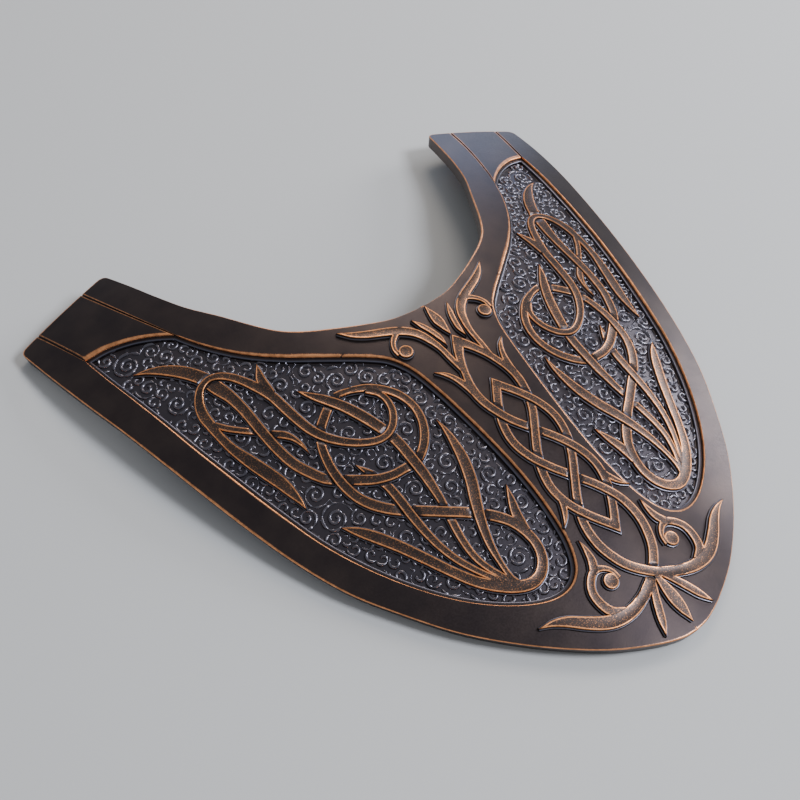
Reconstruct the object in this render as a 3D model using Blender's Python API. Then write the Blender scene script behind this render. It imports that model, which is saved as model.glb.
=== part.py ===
"""Steel gorget: a bowed crescent plate with two recessed side panels and raised interlace."""

import math

import bmesh
import bpy
import numpy as np
from mathutils import Matrix, Vector

# Driving dimensions, in metres. The layout tables are in parts: 125 parts make HALF_WIDTH
# across, and 150 parts make DROP along the centre line.
HALF_WIDTH = 0.125
DROP = 0.150
THICKNESS = 0.0050
CROSS_BOW = 0.0263
LONG_BOW = 0.0286
SWEEP_DEPTH = 0.0108
SLOPE_HEIGHT = 0.0077
SHOULDER_EASE = 0.5

LEDGE_DEPTH = 0.0012
GROUND_DEPTH = 0.0028
LEDGE_WIDTH = 0.0013
GROOVE_WIDTH = 0.0010
GROOVE_DEPTH = 0.0005

STRAP_WIDTH = 0.0036
PANEL_STRAP_TOP = -0.0010
BRAID_RISE = 0.0015
UNDER_GAP = 0.0004
BULB_RADIUS = 0.0026
EYE_RADIUS = 0.0026

STUD_ACROSS = 0.088
STUD_ALONG = 0.078
STUD_RADIUS = 0.0025
STUD_LENGTH = 0.0045
HEAD_RADIUS = 0.0045
HEAD_HEIGHT = 0.0015

PART_X = HALF_WIDTH / 125.0
PART_Y = DROP / 150.0
ARM_CORNER = 0.003
EDGE_SPACING = 0.010
CELL = 0.020
CELL_SHIFT = 0.00037
STRAP_SPACING = 0.005
CURL_SPACING = 0.0026
LAYER = 0.00004
STRAP_ROOT = 0.0008
CUT_REACH = 0.010
PARTING_REACH = 0.0094

# Outline of the right half, x and y in parts, from the neck cusp out to the arm and down
# to the bottom tip.
NECK_EDGE = [(0, 0.6), (3, 0.4), (13, 1.8), (23, 5.8), (33, 11), (42, 16.5), (49, 22.5),
             (55, 31), (62, 43.5), (69, 56), (74, 69), (78, 82), (82.5, 97)]
OUTER_EDGE = [(125, 85), (122.4, 66), (118.8, 46), (114.4, 26), (109.8, 5), (105.2, -15),
              (100, -35), (94, -54), (86.5, -72), (77, -88), (66, -104), (54, -117.5), (41, -129.5),
              (28, -139.2), (15, -146.1), (6, -149.3), (0, -150)]

# Edge of the right recess: one corner row each for the two ends of the arc at the arm.
RECESS_SIDE = [(109.4, 62), (107.2, 47), (104.4, 32), (101.5, 17), (98.6, 2), (95.4, -12),
               (92, -26), (88.2, -40), (84, -53.5), (78.5, -66.5), (71.5, -79.5), (63, -92),
               (54, -102), (44, -110), (35, -114.5), (27.5, -115), (21.5, -111.5), (17.7, -104),
               (15.9, -95), (14.9, -83), (15, -70), (15.9, -57), (17.2, -44), (18.8, -31.5),
               (21, -20.5), (25, -12.5), (31, -6.8), (38.5, -1), (46, 4.8), (54, 11.2),
               (62, 19), (68, 26.5), (73, 34.5), (76.5, 41.5), (79, 47.5)]
RECESS_ARC = [(79, 47.5), (84, 52), (90, 56.2), (96, 59.2), (102, 61.2), (109.4, 62)]
GROOVE_INNER = [(93.5, 95.5), (89, 78), (84.5, 63), (79.6, 49)]
GROOVE_OUTER = [(116.3, 90), (113, 75), (109.7, 63)]

# Straps of the right side panel. Rows: x, y in parts, width as a share of STRAP_WIDTH.
PANEL_STRAPS = {
    "ring": [(81.5, -40.5, 0), (81.5, -37, 0.45), (82.1, -32, 0.95), (83, -27, 1.2),
             (84.7, -21, 1.28), (86.8, -14, 1.2), (88.8, -6.5, 0.95), (89.7, 0.5, 0.85),
             (89.8, 6.5, 1), (89.7, 11.5, 1.08), (88.2, 16.5, 0.95), (85, 21, 0.78),
             (80.8, 22.7, 0.7), (77, 21.4, 0.78), (73.8, 18, 0.85), (71.3, 13.5, 0.9),
             (69.4, 9, 0.98), (67.8, 4.5, 1.02), (66.8, 0.5, 1.03), (66.1, -5.5, 1.03),
             (65.3, -11.5, 1), (64.1, -17.5, 0.95), (61.8, -23, 0.92), (58.3, -28, 0.85),
             (54, -32.2, 0.78), (49, -35.3, 0.75), (44.5, -36.1, 0.74), (40.3, -34.3, 0.76),
             (37.1, -30.3, 0.72), (35.8, -25.5, 0.68), (36.5, -21.3, 0.68), (39.3, -17.5, 0.7)],
    "crescent": [(43.5, -14.1, 0.66), (38.5, -16.7, 0.78), (33.8, -21.3, 0.84),
                 (30.7, -26.5, 0.84), (29.5, -32.5, 0.8), (30.5, -38.5, 0.84),
                 (33.5, -44, 0.9), (38, -48.3, 0.9), (42.5, -50.1, 0.9), (46.5, -49.8, 0.9),
                 (51.5, -49.1, 0.9), (56.5, -47.1, 0.95), (61, -44, 1), (66, -40, 1),
                 (70.3, -36, 0.95), (73.3, -30.5, 1), (75.8, -24, 1), (77.1, -15.5, 1),
                 (77.5, -6.5, 1.02), (77.6, 2.5, 1.05), (78.3, 10.5, 1.18), (79.8, 17, 1.42),
                 (81, 22, 1.45), (82.6, 26.5, 1.42), (85.8, 32, 1.38), (90, 37, 1.15),
                 (94.5, 40.8, 0.65), (99.5, 43.5, 0)],
    "serpent": [(39.5, -16.5, 0.66), (44.5, -13.9, 0.66), (49.5, -12.8, 0.78),
                (54, -14.8, 0.9), (58, -17.5, 0.95), (61.5, -20.5, 0.95), (64.5, -25.5, 0.85),
                (66, -30.5, 0.88), (66.8, -35.5, 0.9), (66.8, -41.5, 0.95), (65.8, -47.5, 0.95),
                (63.3, -53, 1), (59.5, -58, 1), (55.3, -62, 1), (50.5, -65.8, 1),
                (45, -70.2, 1), (39.5, -74.5, 1), (35.5, -78, 1.02), (32, -81.5, 1.05),
                (28.7, -86, 1), (26.8, -91.5, 0.95), (26.4, -97, 0.95), (28, -102, 1),
                (31.5, -105.5, 1.06), (36, -106.5, 1.1), (41, -104.5, 1.12), (46, -100.5, 1.1),
                (51, -95, 1), (55.5, -87.5, 0.95), (59.8, -79, 1), (64.5, -70, 1.05),
                (69, -62.5, 1.05), (72.8, -57, 0.72), (76, -53, 0)],
    "bridge": [(59, -2.5, 0), (56, -7.5, 0.68), (53, -12, 1), (49.8, -17.5, 1.1),
               (47, -24, 1.16), (44.8, -30.5, 1.12), (43.3, -36, 1.06), (42.5, -41.5, 1.05),
               (42.4, -48.5, 1.05), (42.5, -55.5, 1), (43.1, -62.5, 0.85), (43.8, -68, 0.74),
               (45, -74, 0.76), (46.2, -81.5, 0.72), (46.3, -88.5, 0.66), (44.8, -94.5, 0.6),
               (42.3, -100, 0.6), (40.5, -103.5, 0.6)],
    "stem": [(59.5, -38.3, 0), (57.8, -42.5, 0.55), (56.3, -46.5, 0.84), (55.1, -51.5, 0.84),
             (54.8, -57.5, 0.88), (54.8, -64.5, 0.88), (54.5, -71.5, 0.8), (53.5, -79, 0.72),
             (51.5, -86, 0.66), (48.5, -92.5, 0.6), (45, -98.5, 0.6), (42, -102.5, 0.6)],
    "blade": [(26.3, -41.5, 0), (26.1, -46.5, 0.45), (26.7, -52.5, 0.85), (28.1, -59.5, 1.12),
              (30.8, -67, 1.17), (34.3, -74, 1.12), (37.3, -81, 0.95), (39.5, -88, 0.78),
              (40.5, -94.5, 0.56), (40.8, -100.5, 0.56), (40, -103.5, 0.56)],
    "spur": [(21.5, -74.7, 0), (23.5, -80, 0.68), (25.5, -85.5, 1), (26.4, -91.5, 0.9)],
    "fork": [(66.7, 3, 0.95), (66.2, 9.5, 0.95), (64.8, 13.5, 0.5), (63.7, 16.3, 0)],
    "twig": [(88.6, 5.5, 0.6), (86, 1.5, 0.62), (83.5, -1.5, 0.62), (80.8, -4.5, 0.6),
             (77.5, -8, 0.6), (74.3, -11.5, 0.72), (72, -14, 0.76), (70.3, -17.3, 0.5),
             (69.5, -21, 0.3), (69.4, -25, 0)],
}

# Crossings of the panel straps: upper strap, lower strap, x, y.
PANEL_CROSSINGS = [
    ("bridge", "serpent", 51.5, -13.5), ("ring", "serpent", 62.5, -22),
    ("ring", "bridge", 43.3, -36), ("bridge", "crescent", 42.4, -50),
    ("crescent", "stem", 56.2, -47.3), ("serpent", "crescent", 66.8, -39.5),
    ("stem", "serpent", 54.8, -62.5), ("serpent", "bridge", 44.3, -70.7),
    ("blade", "serpent", 36, -77.6), ("ring", "crescent", 81, 22.2),
    ("crescent", "twig", 77.5, -8),
]

# Straps of the centre band that lie on both sides. Rows as for the panel straps.
BAND_STRAPS = {
    "top_leaf": [(6.6, -32, 0.55), (7, -26, 0.6), (7.3, -19.7, 0.62), (8.4, -14.7, 0.78),
                 (10.2, -10.2, 0.92), (12.9, -6.9, 1), (16.7, -4.2, 1), (20.7, -2.1, 0.95),
                 (25.7, 0.4, 0.88), (30.2, 3.4, 0.62), (34.4, 7.4, 0)],
    "top_side_leaf": [(8.5, -3.7, 0), (6.8, -7.7, 0.5), (5.4, -11.7, 0.56), (4.5, -15.7, 0.5),
                      (4.5, -20, 0)],
    "top_spur": [(16, -27, 0), (13.2, -29.7, 0.4), (11.3, -33, 0.55), (10, -37, 0.72),
                 (9.2, -41.5, 0.8)],
    "low_spur": [(9.8, -89.5, 0.6), (11, -92.5, 0.62), (13, -95.7, 0.45), (15.7, -98.5, 0)],
    "long_leaf": [(3, -128.6, 0.9), (8.7, -131.4, 1), (14.7, -132.9, 1.15), (20.7, -132.6, 1.25),
                  (25.7, -130.7, 1.25), (30.7, -127.2, 1.15), (35.2, -123.5, 0.95),
                  (39.7, -120.9, 0.55), (44.5, -119.4, 0)],
    "scroll_leaf": [(14.7, -104.7, 0), (14.8, -108.7, 0.5), (15.6, -112.7, 0.82),
                    (17.5, -115.8, 0.8)],
    "low_leaf": [(11.3, -145.6, 0), (9.2, -141.5, 0.68), (7, -137, 0.8), (4.8, -133, 0.72),
                 (2.6, -129.5, 0.6)],
}
BAND_CURLS = {
    "top_curl": [(14.6, -4.6, 0.75), (17.6, -5.9, 0.6), (20.3, -8.2, 0.5),
                 (21.7, -11, 0.45), (21.6, -13.6, 0.5)],
    "low_curl": [(17.5, -132, 0.9), (21.2, -129.2, 0.9), (22.7, -125, 0.86), (22.4, -120.6, 0.8),
                 (20, -117.2, 0.78), (16.9, -115.6, 0.72), (13.9, -116.7, 0.55),
                 (12, -119.2, 0.45), (11.7, -122, 0.5)],
}
AXIS_LEAVES = {
    "top_middle_leaf": [(0, -1, 0), (0, -6, 0.85), (0, -9.5, 1.08), (0, -13, 0.65), (0, -16.6, 0)],
    "low_middle_leaf": [(0, -128.5, 0.5), (0, -134, 1.05), (0, -138, 1.25), (0, -142, 0.95),
                        (0, -147, 0)],
}
BULB = (14.6, -121.4)
EYE = (18.8, -13.9)

# The four strands of the braid. Those named plus run as listed; those named minus are mirrored.
INNER_STRAND = [(0, -20.7, 1.15), (3, -25, 0.95), (5.3, -29.5, 0.8), (7, -34, 0.75),
                (8.6, -39, 0.9), (9, -44, 0.92), (8, -49.5, 0.88), (5, -57, 0.86),
                (0, -64.3, 0.86), (-5.1, -71.5, 0.86), (-8.8, -78.7, 0.86), (-10.2, -85.9, 0.86),
                (-8.8, -93.1, 0.86), (-5.1, -100.3, 0.86), (0, -107.5, 0.9)]
OUTER_STRAND = [(0, -42.7, 0.9), (5.1, -49.9, 0.86), (8.8, -57.1, 0.86), (10.2, -64.3, 0.86),
                (8.8, -71.5, 0.86), (5.1, -78.7, 0.86), (0, -85.9, 0.86), (-5.1, -93.1, 0.86),
                (-8.8, -100.3, 0.88), (-9.9, -107.5, 0.92), (-8.9, -114, 0.94),
                (-5.8, -120.7, 0.94), (0, -126.7, 0.94), (5.5, -130.2, 0.96), (10.5, -132, 1)]
BRAID_CROSSINGS = [
    ("inner_minus", "outer_minus", -7.2, -53.5), ("outer_plus", "inner_plus", 7.2, -53.5),
    ("inner_plus", "inner_minus", 0, -64.3), ("outer_minus", "inner_plus", -7.2, -75.1),
    ("inner_minus", "outer_plus", 7.2, -75.1), ("outer_plus", "outer_minus", 0, -85.9),
    ("inner_plus", "outer_plus", -7.2, -96.7), ("outer_minus", "inner_minus", 7.2, -96.7),
    ("outer_plus", "outer_minus", 0, -126.7),
]

for old in list(bpy.data.objects):
    bpy.data.objects.remove(old, do_unlink=True)

parts = bpy.data.collections.new("gorget")
bpy.context.scene.collection.children.link(parts)


def height(x, y):
    """Height of the front face: bowed across, bowed and swept along."""
    u = x / HALF_WIDTH
    v = y / DROP
    across = CROSS_BOW * u ** 2 * (1.0 - SHOULDER_EASE * v)
    along = SLOPE_HEIGHT * v - LONG_BOW * v ** 2 - SWEEP_DEPTH * v ** 3
    return along - across


def place(x, y, lift):
    """Point at a distance along the normal of the front face."""
    step = 1e-5
    slope_x = (height(x + step, y) - height(x - step, y)) / (2 * step)
    slope_y = (height(x, y + step) - height(x, y - step)) / (2 * step)
    normal = np.stack([-slope_x, -slope_y, np.ones_like(slope_x)], axis=-1)
    normal = normal / np.linalg.norm(normal, axis=-1, keepdims=True)
    base = np.stack([x, y, height(x, y)], axis=-1)
    return base + normal * np.asarray(lift)[..., None]


def smooth(rows, step):
    """Stations along a rounded curve through the rows, in metres."""
    rows = np.array(rows, dtype=float)
    rows[:, 0] *= PART_X
    rows[:, 1] *= PART_Y
    before = np.vstack([2 * rows[0] - rows[1], rows[:-1]])
    after = np.vstack([rows[1:], 2 * rows[-1] - rows[-2]])
    tangent = (after - before) / 2
    stations = []
    for k in range(len(rows) - 1):
        start, end = rows[k], rows[k + 1]
        span = np.linalg.norm((end - start)[:2])
        count = max(1, round(span / step))
        for t in np.arange(count) / count:
            stations.append(start * (2 * t ** 3 - 3 * t ** 2 + 1)
                            + end * (3 * t ** 2 - 2 * t ** 3)
                            + tangent[k] * (t ** 3 - 2 * t ** 2 + t)
                            + tangent[k + 1] * (t ** 3 - t ** 2))
    stations.append(rows[-1])
    return np.array(stations)


def ribbon(stations, extra=0.0):
    """Outline of a strap around its stations; an end on the centre line is cut along it."""
    points = stations[:, :2]
    half = np.maximum(stations[:, 2], 0) * STRAP_WIDTH / 2 + extra
    direction = np.gradient(points, axis=0)
    direction /= np.linalg.norm(direction, axis=1, keepdims=True)
    side = np.stack([-direction[:, 1], direction[:, 0]], axis=1)
    for end in (0, -1):
        if abs(points[end, 0]) < 1e-6 and abs(direction[end, 0]) > 0.2:
            side[end] = (0, 1 / direction[end, 0])
    left = points + side * half[:, None]
    right = points - side * half[:, None]
    outline = np.vstack([left, right[::-1]])
    keep = np.linalg.norm(outline - np.roll(outline, 1, axis=0), axis=1) > 1e-5
    return outline[keep]


def inset(outline, distance):
    """Outline moved inwards by a distance, corners kept sharp."""
    ahead = np.roll(outline, -1, axis=0) - outline
    ahead /= np.linalg.norm(ahead, axis=1, keepdims=True)
    back = np.roll(ahead, 1, axis=0)
    turn = ahead + back
    turn /= np.linalg.norm(turn, axis=1, keepdims=True)
    area = np.sum(outline[:, 0] * np.roll(outline[:, 1], -1)
                  - np.roll(outline[:, 0], -1) * outline[:, 1])
    inward = np.stack([-turn[:, 1], turn[:, 0]], axis=1) * np.sign(area)
    reach = distance / np.maximum(np.sum(turn * ahead, axis=1), 0.5)
    return outline + inward * reach[:, None]


def eased_corner(before, corner, after):
    """Points of a curve round a corner, from one ARM_CORNER before it to one after it."""
    start = corner + (before - corner) * ARM_CORNER / np.linalg.norm(before - corner)
    end = corner + (after - corner) * ARM_CORNER / np.linalg.norm(after - corner)
    t = np.linspace(0, 1, 5)[:, None]
    return start * (1 - t) ** 2 + corner * 2 * t * (1 - t) + end * t ** 2


def away_from(corner, line):
    """The points of a line that lie further from a corner than its rounding."""
    return line[np.linalg.norm(line - corner, axis=1) > ARM_CORNER]


def mirrored(points):
    """The same points on the other side of the centre line."""
    flipped = np.array(points, dtype=float)
    flipped[:, 0] *= -1
    return flipped


def solid(name, outline, low, high):
    """Flat prism between two levels, from a filled curve."""
    curve = bpy.data.curves.new(name, "CURVE")
    curve.dimensions = "2D"
    curve.fill_mode = "BOTH"
    curve.extrude = (high - low) / 2
    spline = curve.splines.new("POLY")
    spline.points.add(len(outline) - 1)
    flat = np.zeros((len(outline), 4))
    flat[:, :2] = outline
    flat[:, 3] = 1
    spline.points.foreach_set("co", flat.ravel())
    spline.use_cyclic_u = True
    holder = bpy.data.objects.new(name, curve)
    parts.objects.link(holder)
    mesh = bpy.data.meshes.new_from_object(holder)
    bpy.data.objects.remove(holder, do_unlink=True)
    mesh.transform(Matrix.Translation((0, 0, (high + low) / 2)))
    shape = bmesh.new()
    shape.from_mesh(mesh)
    bmesh.ops.remove_doubles(shape, verts=shape.verts, dist=1e-6)
    bmesh.ops.recalc_face_normals(shape, faces=shape.faces)
    shape.to_mesh(mesh)
    shape.free()
    made = bpy.data.objects.new(name, mesh)
    parts.objects.link(made)
    return made


def gridded(name, outline, low, high):
    """Prism whose flat faces are cut into square cells, so that they can follow the bow."""
    bpy.ops.mesh.primitive_cube_add(size=1, location=(0, 0, (low + high) / 2))
    slab = bpy.context.object
    slab.name = name
    slab.scale = (2.4 * HALF_WIDTH, 2.4 * DROP, high - low)
    bpy.ops.object.transform_apply(location=True, rotation=True, scale=True)
    for home in list(slab.users_collection):
        home.objects.unlink(slab)
    parts.objects.link(slab)
    shape = bmesh.new()
    shape.from_mesh(slab.data)
    for axis, reach in ((Vector((1, 0, 0)), HALF_WIDTH), (Vector((0, 1, 0)), DROP)):
        count = int(reach / CELL)
        for k in range(-count, count + 1):
            everything = shape.verts[:] + shape.edges[:] + shape.faces[:]
            bmesh.ops.bisect_plane(shape, geom=everything, dist=1e-7, plane_no=axis,
                                   plane_co=axis * (k * CELL + CELL_SHIFT))
    shape.to_mesh(slab.data)
    shape.free()
    combine(slab, [solid("shaper", outline, low - CUT_REACH, high + CUT_REACH)], "INTERSECT")
    return slab


def combine(target, tools, operation):
    """Boolean of the target with each tool in turn; the tools are used up."""
    for tool in tools:
        change = target.modifiers.new(operation.lower(), "BOOLEAN")
        change.solver = "EXACT"
        change.operation = operation
        change.object = tool
        bpy.context.view_layer.update()
        view = bpy.context.evaluated_depsgraph_get()
        mesh = bpy.data.meshes.new_from_object(target.evaluated_get(view))
        target.modifiers.clear()
        target.data = mesh
        bpy.data.objects.remove(tool, do_unlink=True)


def strap_set(rows, crossings, low, high, step, first_layer):
    """Straps as prisms, with each lower strap parted under the upper one."""
    stations = {name: smooth(line, step) for name, line in rows.items()}
    made = {}
    for layer, (name, line) in enumerate(stations.items()):
        made[name] = solid(name, ribbon(line), low, high + LAYER * (first_layer + layer))
    for upper, lower, x, y in crossings:
        line = stations[upper]
        near = np.hypot(line[:, 0] - x * PART_X, line[:, 1] - y * PART_Y) < PARTING_REACH
        cutter = solid("cutter", ribbon(line[near], UNDER_GAP), low - CUT_REACH, high + CUT_REACH)
        combine(made[lower], [cutter], "DIFFERENCE")
    return made


def both_sides(objects):
    """The objects and their mirror images."""
    pairs = list(objects)
    for item in objects:
        copy = bpy.data.objects.new(item.name + "_left", item.data.copy())
        parts.objects.link(copy)
        copy.data.transform(Matrix.Scale(-1, 4, (1, 0, 0)))
        copy.data.flip_normals()
        pairs.append(copy)
    return pairs


def disc(centre, radius):
    """Round outline about a layout point."""
    angle = np.arange(16) * math.tau / 16
    return np.stack([centre[0] * PART_X + radius * np.cos(angle),
                     centre[1] * PART_Y + radius * np.sin(angle)], axis=1)


def with_width(rows):
    """Layout rows with a spare third column, for smooth."""
    return [(x, y, 1) for x, y in rows]


neck = smooth(with_width(NECK_EDGE), EDGE_SPACING)[:, :2]
rim = smooth(with_width(OUTER_EDGE), EDGE_SPACING)[:, :2]
inner_corner, outer_corner = neck[-1], rim[0]
right_side = np.vstack([away_from(inner_corner, neck), eased_corner(neck[-2], inner_corner, outer_corner),
                        eased_corner(inner_corner, outer_corner, rim[1]), away_from(outer_corner, rim)])
left_side = mirrored(right_side)[::-1]
plate = gridded("gorget_plate", np.vstack([right_side, left_side[1:-1]]), -THICKNESS, 0.0)

recess = np.vstack([smooth(with_width(RECESS_SIDE), EDGE_SPACING)[:-1, :2],
                    smooth(with_width(RECESS_ARC), EDGE_SPACING)[:-1, :2]])
ledge = gridded("ledge_cutter", recess, -LEDGE_DEPTH, CUT_REACH)
ground = gridded("ground_cutter", inset(recess, LEDGE_WIDTH), -GROUND_DEPTH, CUT_REACH)
grooves = []
for number, line in enumerate((GROOVE_INNER, GROOVE_OUTER)):
    stations = smooth([(x, y, GROOVE_WIDTH / STRAP_WIDTH) for x, y in line], EDGE_SPACING)
    grooves.append(solid(f"groove_cutter_{number}", ribbon(stations), -GROOVE_DEPTH, CUT_REACH))
combine(plate, both_sides([ledge, ground] + grooves), "DIFFERENCE")

panel = strap_set(PANEL_STRAPS, PANEL_CROSSINGS, -GROUND_DEPTH - STRAP_ROOT, PANEL_STRAP_TOP,
                  STRAP_SPACING, 0)
ornament = both_sides(panel.values())

strands = {
    "inner_plus": INNER_STRAND,
    "inner_minus": [(-x, y, w) for x, y, w in INNER_STRAND],
    "outer_plus": OUTER_STRAND,
    "outer_minus": [(-x, y, w) for x, y, w in OUTER_STRAND],
}
braid = strap_set(strands, BRAID_CROSSINGS, -STRAP_ROOT, BRAID_RISE, STRAP_SPACING, 0)
leaves = strap_set(AXIS_LEAVES, [], -STRAP_ROOT, BRAID_RISE, STRAP_SPACING, len(braid))
ornament += [*braid.values(), *leaves.values()]
laid = len(braid) + len(leaves)
straps = strap_set(BAND_STRAPS, [], -STRAP_ROOT, BRAID_RISE, STRAP_SPACING, laid)
curls = strap_set(BAND_CURLS, [], -STRAP_ROOT, BRAID_RISE, CURL_SPACING, laid + len(straps))
laid += len(straps) + len(curls)
bulb = solid("bulb", disc(BULB, BULB_RADIUS), -STRAP_ROOT, BRAID_RISE + LAYER * laid)
eye = solid("eye", disc(EYE, EYE_RADIUS), -STRAP_ROOT, BRAID_RISE + LAYER * (laid + 1))
ornament += both_sides([*straps.values(), *curls.values(), bulb, eye])
combine(plate, ornament, "UNION")

shape = bmesh.new()
shape.from_mesh(plate.data)
bmesh.ops.remove_doubles(shape, verts=shape.verts, dist=2e-6)
bmesh.ops.triangulate(shape, faces=shape.faces, quad_method="BEAUTY", ngon_method="BEAUTY")
shape.to_mesh(plate.data)
shape.free()

flat = np.zeros(len(plate.data.vertices) * 3)
plate.data.vertices.foreach_get("co", flat)
flat = flat.reshape(-1, 3)
bowed = place(flat[:, 0], flat[:, 1], flat[:, 2])
floor = bowed[:, 2].min()
middle = (bowed[:, 1].min() + bowed[:, 1].max()) / 2
bowed -= (0, middle, floor)
plate.data.vertices.foreach_set("co", bowed.ravel())

studs = []
for sign in (-1, 1):
    spot = np.array([[sign * STUD_ACROSS, STUD_ALONG]])
    foot = place(spot[:, 0], spot[:, 1], [-THICKNESS / 2])[0] - (0, middle, floor)
    tip = place(spot[:, 0], spot[:, 1], [-THICKNESS - STUD_LENGTH])[0] - (0, middle, floor)
    along = Vector(tip - foot).normalized()
    turn = along.to_track_quat("Z", "Y")
    for radius, start, end in ((STUD_RADIUS, Vector(foot), Vector(tip) - along * HEAD_HEIGHT / 2),
                               (HEAD_RADIUS, Vector(tip) - along * HEAD_HEIGHT, Vector(tip))):
        bpy.ops.mesh.primitive_cylinder_add(vertices=20, radius=radius,
                                            depth=(end - start).length,
                                            location=(start + end) / 2,
                                            rotation=turn.to_euler())
        stud = bpy.context.object
        bpy.ops.object.transform_apply(location=True, rotation=True, scale=True)
        for home in list(stud.users_collection):
            home.objects.unlink(stud)
        parts.objects.link(stud)
        studs.append(stud)
combine(plate, studs, "UNION")

shape = bmesh.new()
shape.from_mesh(plate.data)
bmesh.ops.triangulate(shape, faces=shape.faces)
shape.to_mesh(plate.data)
shape.free()

steel = bpy.data.materials.new("patinated_steel")
steel.use_nodes = True
surface = steel.node_tree.nodes["Principled BSDF"]
surface.inputs["Base Color"].default_value = (0.10, 0.075, 0.065, 1.0)
surface.inputs["Metallic"].default_value = 0.85
surface.inputs["Roughness"].default_value = 0.42
plate.data.materials.clear()
plate.data.materials.append(steel)
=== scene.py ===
"""Steel gorget: bowed crescent plate with two recessed panels, interlaced straps and a braid."""

import math

import bmesh
import bpy
import numpy as np
from mathutils import Matrix, Vector


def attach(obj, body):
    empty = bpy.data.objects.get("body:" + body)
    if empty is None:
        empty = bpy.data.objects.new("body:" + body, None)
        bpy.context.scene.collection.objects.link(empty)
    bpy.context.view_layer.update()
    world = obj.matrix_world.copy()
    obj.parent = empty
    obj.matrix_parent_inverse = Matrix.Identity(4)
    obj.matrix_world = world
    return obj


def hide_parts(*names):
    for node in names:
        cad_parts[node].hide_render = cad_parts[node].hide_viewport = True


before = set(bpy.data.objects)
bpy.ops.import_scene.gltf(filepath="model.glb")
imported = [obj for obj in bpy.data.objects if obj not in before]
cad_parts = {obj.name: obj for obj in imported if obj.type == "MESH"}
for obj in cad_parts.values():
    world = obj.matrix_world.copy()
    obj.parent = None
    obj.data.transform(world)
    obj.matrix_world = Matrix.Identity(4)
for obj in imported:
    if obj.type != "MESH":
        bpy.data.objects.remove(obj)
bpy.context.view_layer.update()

# The plate: one crescent of 5 mm steel, bowed both ways, with a raised border and two sunk
# side panels. It is forged to shape, cut back to a stepped edge round each panel, coppered,
# blackened and rubbed bright along every edge. Lengths in the tables are millimetres.
HALF_WIDTH = 125.0
DROP = 150.0
THICKNESS = 5.0
CROSS_BOW = 26.3
LONG_BOW = 28.6
LONG_SWEEP = 10.8
LONG_SLOPE = 7.7
SHOULDER_EASE = 0.5
# Middle of the outline and lowest point, seen from the cusp of the neck edge, where the
# layout has its origin.
MIDDLE = -26.8191
FLOOR = -30.387
NECK_EDGE = [(0, 0.6), (3, 0.4), (13, 1.8), (23, 5.8), (33, 11), (42, 16.5), (49, 22.5),
             (55, 31), (62, 43.5), (69, 56), (74, 69), (78, 82), (82.5, 97)]
OUTER_EDGE = [(125, 85), (122.4, 66), (118.8, 46), (114.4, 26), (109.8, 5), (105.2, -15),
              (100, -35), (94, -54), (86.5, -72), (77, -88), (66, -104), (54, -117.5), (41, -129.5),
              (28, -139.2), (15, -146.1), (6, -149.3), (0, -150)]
PANEL_SIDE = [(109.4, 62), (107.2, 47), (104.4, 32), (101.5, 17), (98.6, 2), (95.4, -12),
              (92, -26), (88.2, -40), (84, -53.5), (78.5, -66.5), (71.5, -79.5), (63, -92),
              (54, -102), (44, -110), (35, -114.5), (27.5, -115), (21.5, -111.5), (17.7, -104),
              (15.9, -95), (14.9, -83), (15, -70), (15.9, -57), (17.2, -44), (18.8, -31.5),
              (21, -20.5), (25, -12.5), (31, -6.8), (38.5, -1), (46, 4.8), (54, 11.2),
              (62, 19), (68, 26.5), (73, 34.5), (76.5, 41.5), (79, 47.5)]
PANEL_ARC = [(79, 47.5), (84, 52), (90, 56.2), (96, 59.2), (102, 61.2), (109.4, 62)]
EDGE_SPACING = 0.2
PANEL_SPACING = 0.1
AXIS_POINTS = 1500
GROUND_DEPTH = 2.8
GROOVE_DEPTH = 0.5
GROOVE_SWAY = 0.8
# Where the two grooves meet the end of an arm, in shares of its length from the neck side.
FIRST_GROOVE, SECOND_GROOVE = 0.256, 0.798
ARM_CORNER = 3.0
NICK_AT = (38.5, -1.0)
NICK_REACH = 1.4
NICK_DEPTH = 0.35
# Copper of the plain border, the sunk ground and the back: from 1, bare copper, through 0, patina, to -0.8,
# steel blue with a painted bluish sheen of reflected light. The ground's tone below nought is partly this
# painted sheen.
BORDER_TONE = 0.12
GROUND_TONE = -0.30
BACK_TONE = 0.02
# Rows of points on the plain border between its two rounded edges.
BORDER_ROWS = 10

# Rounded edge of the front: distance from the edge, drop, copper showing at the panel edge
# and at the outer edge.
EDGE_ROWS = np.array([(0.0, 0.45, 0.80, 0.55), (0.10, 0.22, 1.0, 0.95), (0.30, 0.07, 1.0, 1.0),
                      (0.60, 0.0, 0.50, 0.55), (1.10, 0.0, 0.16, 0.16),
                      (2.40, 0.0, BORDER_TONE, BORDER_TONE)])
# Stepped edge of a panel: distance inwards, depth, copper. The tones below nought on the walls and ledge are
# a painted bluish sheen of light.
STEP_ROWS = [(0.06, 1.00, 0.15), (0.16, 1.18, -0.05), (0.85, 1.22, -0.20), (1.12, 1.28, -0.75),
             (1.34, 1.48, -0.60), (1.42, 2.66, 0.0), (1.60, GROUND_DEPTH, -0.1)]


def bow(x, y):
    """Height of the front: minus a square of x that eases towards the arms, plus a slope,
    a square and a cube of y."""
    u = x / HALF_WIDTH
    v = y / DROP
    across = CROSS_BOW * u ** 2 * (1.0 - SHOULDER_EASE * v)
    return LONG_SLOPE * v - LONG_BOW * v ** 2 - LONG_SWEEP * v ** 3 - across


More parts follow.
